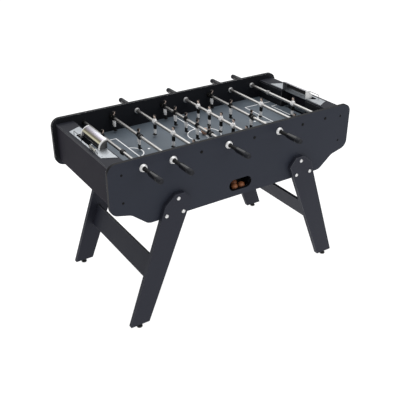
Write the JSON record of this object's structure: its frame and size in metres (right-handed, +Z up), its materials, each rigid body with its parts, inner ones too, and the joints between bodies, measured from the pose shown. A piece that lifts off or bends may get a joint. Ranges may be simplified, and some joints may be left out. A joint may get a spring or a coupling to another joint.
{
  "type": "foosball table",
  "caption": "Full-size football table with charcoal laminate case and legs, chrome telescopic rods, black and white moulded teams and hooded goals.",
  "frame": {"origin": "floor level under the middle of the table, in the plane midway between the two side panels", "axes": "+X along the table from the left goal to the right goal, -Y towards the near side with the ball trough, +Z up"},
  "size_m": [1.39, 0.979, 0.904],
  "materials": {
    "charcoal_laminate": "charcoal melamine-faced board with a faint satin grain",
    "pitch_surface": "grey-blue printed laminate, satin",
    "plate_steel": "thin brushed steel sheet",
    "chrome": "polished chrome plate",
    "bolt_steel": "zinc-plated steel",
    "black_plastic": "moulded, matt",
    "grip_rubber": "soft moulded grip, slight sheen",
    "figure_black": "moulded team figure, painted kit",
    "figure_white": "moulded team figure, painted kit",
    "ball_brown": "turned brown ball",
    "marker_plastic": "ribbed sliding marker, pale",
    "collar_grey": "moulded, light grey"
  },
  "bodies": {
    "table": {"playfield": "pitch_surface", "near_side_panel": "charcoal_laminate", "far_side_panel": "charcoal_laminate", "left_end_panel": "charcoal_laminate", "right_end_panel": "charcoal_laminate", "bottom_board": "charcoal_laminate", "end_shelves": "charcoal_laminate", "goal_walls": "charcoal_laminate", "goal_plates": "plate_steel", "goal_hoods": "chrome", "score_wires": "chrome", "rod_bearings": "chrome", "rod_anchors": "black_plastic", "near_left_leg": "charcoal_laminate", "near_right_leg": "charcoal_laminate", "far_left_leg": "charcoal_laminate", "far_right_leg": "charcoal_laminate", "stretchers": "charcoal_laminate", "leg_bolts": "bolt_steel", "screw_covers": "black_plastic", "foot_glides": "black_plastic", "ball_tray": "black_plastic", "ball_ramps": "black_plastic", "game_balls": "ball_brown"},
    "near_keeper_core": {"near_keeper_inner_rod": "chrome"},
    "near_keeper_rod": {"near_keeper_tube": "chrome", "near_keeper_handle": "grip_rubber", "near_keeper_figures": "figure_black", "near_keeper_stop_collar": "black_plastic"},
    "near_defence_core": {"near_defence_inner_rod": "chrome"},
    "near_defence_rod": {"near_defence_tube": "chrome", "near_defence_handle": "grip_rubber", "near_defence_figures": "figure_black"},
    "near_midfield_core": {"near_midfield_inner_rod": "chrome"},
    "near_midfield_rod": {"near_midfield_tube": "chrome", "near_midfield_handle": "grip_rubber", "near_midfield_figures": "figure_black"},
    "near_attack_core": {"near_attack_inner_rod": "chrome"},
    "near_attack_rod": {"near_attack_tube": "chrome", "near_attack_handle": "grip_rubber", "near_attack_figures": "figure_black"},
    "far_keeper_core": {"far_keeper_inner_rod": "chrome"},
    "far_keeper_rod": {"far_keeper_tube": "chrome", "far_keeper_handle": "grip_rubber", "far_keeper_figures": "figure_white", "far_keeper_stop_collar": "collar_grey"},
    "far_defence_core": {"far_defence_inner_rod": "chrome"},
    "far_defence_rod": {"far_defence_tube": "chrome", "far_defence_handle": "grip_rubber", "far_defence_figures": "figure_white"},
    "far_midfield_core": {"far_midfield_inner_rod": "chrome"},
    "far_midfield_rod": {"far_midfield_tube": "chrome", "far_midfield_handle": "grip_rubber", "far_midfield_figures": "figure_white"},
    "far_attack_core": {"far_attack_inner_rod": "chrome"},
    "far_attack_rod": {"far_attack_tube": "chrome", "far_attack_handle": "grip_rubber", "far_attack_figures": "figure_white"},
    "left_score_marker": {"left_score_slider": "marker_plastic"},
    "right_score_marker": {"right_score_slider": "marker_plastic"}
  },
  "joints": [
    {"name": "near_keeper_spin", "type": "hinge", "parent": "table", "child": "near_keeper_core", "pos_m": [-0.525, 0, 0.836], "axis": [0, 1, 0], "continuous": true},
    {"name": "near_keeper_push_pull", "type": "slide", "parent": "near_keeper_core", "child": "near_keeper_rod", "axis": [0, -1, 0], "range_m": [0, 0.153]},
    {"name": "near_defence_spin", "type": "hinge", "parent": "table", "child": "near_defence_core", "pos_m": [-0.375, 0, 0.836], "axis": [0, 1, 0], "continuous": true},
    {"name": "near_defence_push_pull", "type": "slide", "parent": "near_defence_core", "child": "near_defence_rod", "axis": [0, -1, 0], "range_m": [0, 0.272]},
    {"name": "near_midfield_spin", "type": "hinge", "parent": "table", "child": "near_midfield_core", "pos_m": [-0.075, 0, 0.836], "axis": [0, 1, 0], "continuous": true},
    {"name": "near_midfield_push_pull", "type": "slide", "parent": "near_midfield_core", "child": "near_midfield_rod", "axis": [0, -1, 0], "range_m": [0, 0.114]},
    {"name": "near_attack_spin", "type": "hinge", "parent": "table", "child": "near_attack_core", "pos_m": [0.225, 0, 0.836], "axis": [0, 1, 0], "continuous": true},
    {"name": "near_attack_push_pull", "type": "slide", "parent": "near_attack_core", "child": "near_attack_rod", "axis": [0, -1, 0], "range_m": [0, 0.176]},
    {"name": "far_keeper_spin", "type": "hinge", "parent": "table", "child": "far_keeper_core", "pos_m": [0.525, 0, 0.836], "axis": [0, 1, 0], "continuous": true},
    {"name": "far_keeper_push_pull", "type": "slide", "parent": "far_keeper_core", "child": "far_keeper_rod", "axis": [0, 1, 0], "range_m": [-0.017, 0.136]},
    {"name": "far_defence_spin", "type": "hinge", "parent": "table", "child": "far_defence_core", "pos_m": [0.375, 0, 0.836], "axis": [0, 1, 0], "continuous": true},
    {"name": "far_defence_push_pull", "type": "slide", "parent": "far_defence_core", "child": "far_defence_rod", "axis": [0, 1, 0], "range_m": [-0.017, 0.255]},
    {"name": "far_midfield_spin", "type": "hinge", "parent": "table", "child": "far_midfield_core", "pos_m": [0.075, 0, 0.836], "axis": [0, 1, 0], "continuous": true},
    {"name": "far_midfield_push_pull", "type": "slide", "parent": "far_midfield_core", "child": "far_midfield_rod", "axis": [0, 1, 0], "range_m": [-0.017, 0.097]},
    {"name": "far_attack_spin", "type": "hinge", "parent": "table", "child": "far_attack_core", "pos_m": [-0.225, 0, 0.836], "axis": [0, 1, 0], "continuous": true},
    {"name": "far_attack_push_pull", "type": "slide", "parent": "far_attack_core", "child": "far_attack_rod", "axis": [0, 1, 0], "range_m": [-0.017, 0.159]},
    {"name": "left_score_slide", "type": "slide", "parent": "table", "child": "left_score_marker", "axis": [0, -1, 0], "range_m": [0, 0.016]},
    {"name": "right_score_slide", "type": "slide", "parent": "table", "child": "right_score_marker", "axis": [0, 1, 0], "range_m": [0, 0.016]}
  ]
}
